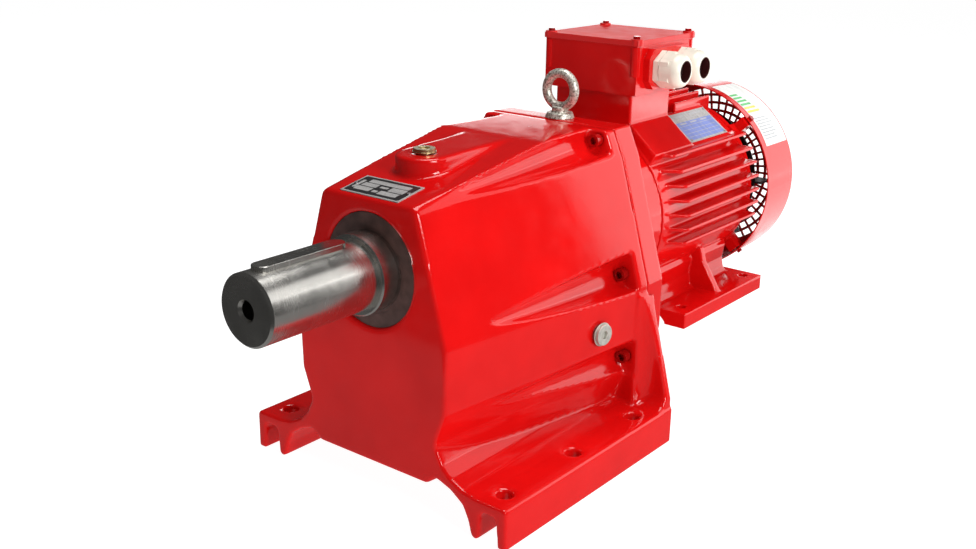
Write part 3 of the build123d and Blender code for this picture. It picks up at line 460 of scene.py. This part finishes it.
def copied(prefix, node):
    """A welded copy of the node's mesh as an object of its own."""
    obj = bpy.data.objects.new(prefix + node, NODES[node].data.copy())
    bpy.context.scene.collection.objects.link(obj)
    weld(obj.data)
    return obj


def placed(obj, node):
    """Rides obj on the node's body, in the node's place, with the node's slot."""
    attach(obj, BODY[node])
    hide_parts(node)
    dress(obj, node)


def cast_surface(node, voxel, rounds, blend=None):
    """The node's shape as a casting: every edge and inside corner takes a radius."""
    obj = copied("cast_", node)
    remesh = obj.modifiers.new("remesh", "REMESH")
    remesh.mode = "VOXEL"
    remesh.voxel_size = voxel
    relax(obj, rounds)
    applied(obj)
    if blend:
        group = obj.vertex_groups.new(name="blend")
        group.add([v.index for v in obj.data.vertices if blend(v.co)], 1.0, "REPLACE")
        relax(obj, BLEND_ROUNDS).vertex_group = "blend"
        applied(obj)
    for p in obj.data.polygons:
        p.use_smooth = True
    placed(obj, node)


def rounded(node, width):
    """The node's shape with its sharp edges rounded to width."""
    obj = copied("edge_", node)
    bm = bmesh.new()
    bm.from_mesh(obj.data)
    bmesh.ops.dissolve_limit(bm, angle_limit=radians(FLAT_WITHIN), verts=bm.verts,
                             edges=bm.edges, use_dissolve_boundaries=False)
    bm.to_mesh(obj.data)
    bm.free()
    bevel = obj.modifiers.new("bevel", "BEVEL")
    bevel.width = width
    bevel.segments = BEVEL_SEGMENTS
    bevel.limit_method = "ANGLE"
    bevel.angle_limit = radians(BEVEL_ABOVE)
    bevel.miter_outer = "MITER_ARC"
    applied(obj)
    smooth_by_angle(obj.data)
    weigh = obj.modifiers.new("weigh", "WEIGHTED_NORMAL")
    weigh.keep_sharp = True
    applied(obj)
    placed(obj, node)


# ---- plates and label ----------------------------------------------------------------------
def piece(name, bm, node, mat):
    """Turns bm into an object of its own that rides with the node."""
    mesh = bpy.data.meshes.new(name)
    bm.to_mesh(mesh)
    bm.free()
    obj = bpy.data.objects.new(name, mesh)
    bpy.context.scene.collection.objects.link(obj)
    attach(obj, BODY[node])
    paint(obj, MATS[mat])


def skin(bm, loops):
    """Closes a stack of vertex loops into a solid."""
    n = len(loops[0])
    for a, b in zip(loops, loops[1:]):
        for k in range(n):
            bm.faces.new((a[k], a[(k + 1) % n], b[(k + 1) % n], b[k]))
    bm.faces.new(loops[-1])
    bm.faces.new(list(reversed(loops[0])))


def slabs(name, node, place, fields, z0, z1, radius, mat):
    """Thin raised fields (x0, x1, y0, y1 in mm) with round corners on a plate's own plane."""
    bm = bmesh.new()
    ease = (z1 - z0) / 2
    for x0, x1, y0, y1 in fields:
        r = min(radius, (x1 - x0) / 2.1, (y1 - y0) / 2.1)
        corners = ((x1 - r, y1 - r, 0), (x0 + r, y1 - r, 90),
                   (x0 + r, y0 + r, 180), (x1 - r, y0 + r, 270))
        loops = []
        for z, inset in ((z0, 0.0), (z1 - ease, 0.0), (z1, ease)):
            loop = []
            for cx, cy, start in corners:
                for k in range(CORNER_STEPS + 1):
                    a = radians(start + 90 / CORNER_STEPS * k)
                    point = Vector((cx + (r - inset) * cos(a), cy + (r - inset) * sin(a), z))
                    loop.append(bm.verts.new(place @ (point * MM)))
            loops.append(loop)
        skin(bm, loops)
    piece(name, bm, node, mat)


def wrapped(name, node, fields, mat):
    """Fields (angle0, angle1, y0, y1) printed on the tapered label of the fan cowl."""
    bm = bmesh.new()
    for low, high, y0, y1 in fields:
        steps = max(2, int((high - low) / LABEL_STEP))
        loops = []
        for grow in (0.0, PRINT_LIFT):
            edge = []
            for y, run in ((y0, range(steps + 1)), (y1, range(steps, -1, -1))):
                r = LABEL_RADIUS - LABEL_TAPER * (y - LABEL_FRONT) + grow
                for k in run:
                    a = radians(low + (high - low) * k / steps)
                    point = Vector((r * cos(a), y, MOTOR_Z + r * sin(a)))
                    edge.append(bm.verts.new(point * MM))
            loops.append(edge)
        skin(bm, loops)
    piece(name, bm, node, mat)


def nameplates():
    slope = Matrix.Rotation(REDUCER_PLATE_SLOPE, 4, "X")
    place = Matrix.Translation(REDUCER_PLATE_AT) @ slope
    for name, *raised in REDUCER_RAISED:
        slabs(name, "reducer_nameplate", place, *raised)
    lean = radians(MOTOR_PLATE_ANGLE)
    place = Matrix.Translation((MOTOR_PLATE_RADIUS * cos(lean), MOTOR_PLATE_Y,
                                MOTOR_Z * MM + MOTOR_PLATE_RADIUS * sin(lean)))
    place = place @ Matrix.Rotation(radians(90 - MOTOR_PLATE_ANGLE), 4, "Y")
    for name, *raised in MOTOR_RAISED:
        slabs(name, "motor_nameplate", place, *raised)
    for name, fields, mat in PRINTED:
        wrapped(name, "cowl_label", fields, mat)


# ---- studio --------------------------------------------------------------------------------
def softbox(name, where, target, size, power):
    data = bpy.data.lights.new(name, "AREA")
    data.shape = "RECTANGLE"
    data.size, data.size_y = size
    data.energy = power
    obj = bpy.data.objects.new(name, data)
    bpy.context.scene.collection.objects.link(obj)
    obj.location = where
    obj.visible_camera = False
    direction = Vector(target) - Vector(where)
    obj.rotation_euler = direction.to_track_quat("-Z", "Y").to_euler()


def plane(name, where, half, mat):
    """A level square of the stage, which isn't part of the object."""
    mesh = bpy.data.meshes.new(name)
    corners = [(-half, -half, 0), (half, -half, 0), (half, half, 0), (-half, half, 0)]
    mesh.from_pydata(corners, [], [(0, 1, 2, 3)])
    obj = bpy.data.objects.new(name, mesh)
    obj.location = where
    bpy.context.scene.collection.objects.link(obj)
    mesh.materials.append(mat)
    return obj


def stage_paint(name, base, glow):
    m = Mat(name, (base, base, base), rough=0.9)
    shade = base * 0.97
    m.colour(m.ramp(m.noise(0.6, 2), (shade, shade, shade), (base, base, base)))
    m.set("Specular IOR Level", 0.0)
    m.set("Emission Color", (1, 1, 1, 1))
    m.set("Emission Strength", glow)
    return m.mat


def surroundings():
    """White behind the picture, and a dim even room for everything else."""
    world = bpy.data.worlds.new("studio")
    bpy.context.scene.world = world
    world.use_nodes = True
    tree = world.node_tree
    back = tree.nodes["Background"]
    path = tree.nodes.new("ShaderNodeLightPath")
    mix = tree.nodes.new("ShaderNodeMix")
    mix.data_type = "RGBA"
    mix.inputs[6].default_value = (AMBIENT, AMBIENT, AMBIENT, 1)
    mix.inputs[7].default_value = (1, 1, 1, 1)
    tree.links.new(path.outputs["Is Camera Ray"], mix.inputs["Factor"])
    tree.links.new(mix.outputs[2], back.inputs["Color"])
    back.inputs["Strength"].default_value = 1.0


def studio():
    surroundings()
    floor = plane("studio_floor", (0, 0, FLOOR_Z), FLOOR_HALF,
                  stage_paint("studio_floor", FLOOR_GREY, FLOOR_GLOW))
    floor.visible_glossy = False
    for name, x, y, half, glow in CARDS:
        card = plane(name, (x, y, CARD_Z), half, stage_paint(name, CARD_GREY, glow))
        card.visible_camera = False
        card.visible_diffuse = False
        card.visible_shadow = False
    for box in SOFTBOXES:
        softbox(*box)


def camera():
    az, pitch, roll = (radians(a) for a in (CAMERA_AZIMUTH, CAMERA_PITCH, CAMERA_ROLL))
    forward = Vector((-sin(az) * cos(pitch), cos(az) * cos(pitch), -sin(pitch)))
    level = forward.cross(Vector((0, 0, 1))).normalized()
    upright = level.cross(forward)
    right = cos(roll) * level + sin(roll) * upright
    up = -sin(roll) * level + cos(roll) * upright
    data = bpy.data.cameras.new("photo_camera")
    data.sensor_fit = "HORIZONTAL"
    data.sensor_width = SENSOR
    data.lens = LENS
    data.clip_end = CLIP_END
    obj = bpy.data.objects.new("photo_camera", data)
    bpy.context.scene.collection.objects.link(obj)
    turn = Matrix((right, up, -forward)).transposed()
    obj.matrix_world = Matrix.Translation(CAMERA_AT) @ turn.to_4x4()
    bpy.context.scene.camera = obj


def main():
    make_materials()
    for node, obj in NODES.items():
        dress(obj, node)
    for node, (voxel, rounds) in CAST.items():
        cast_surface(node, voxel, rounds, housing_blend if node == "gear_housing" else None)
    for node, width in ROUNDED.items():
        rounded(node, width)
    nameplates()
    studio()
    camera()
    bpy.context.scene.view_settings.view_transform = "Standard"


main()
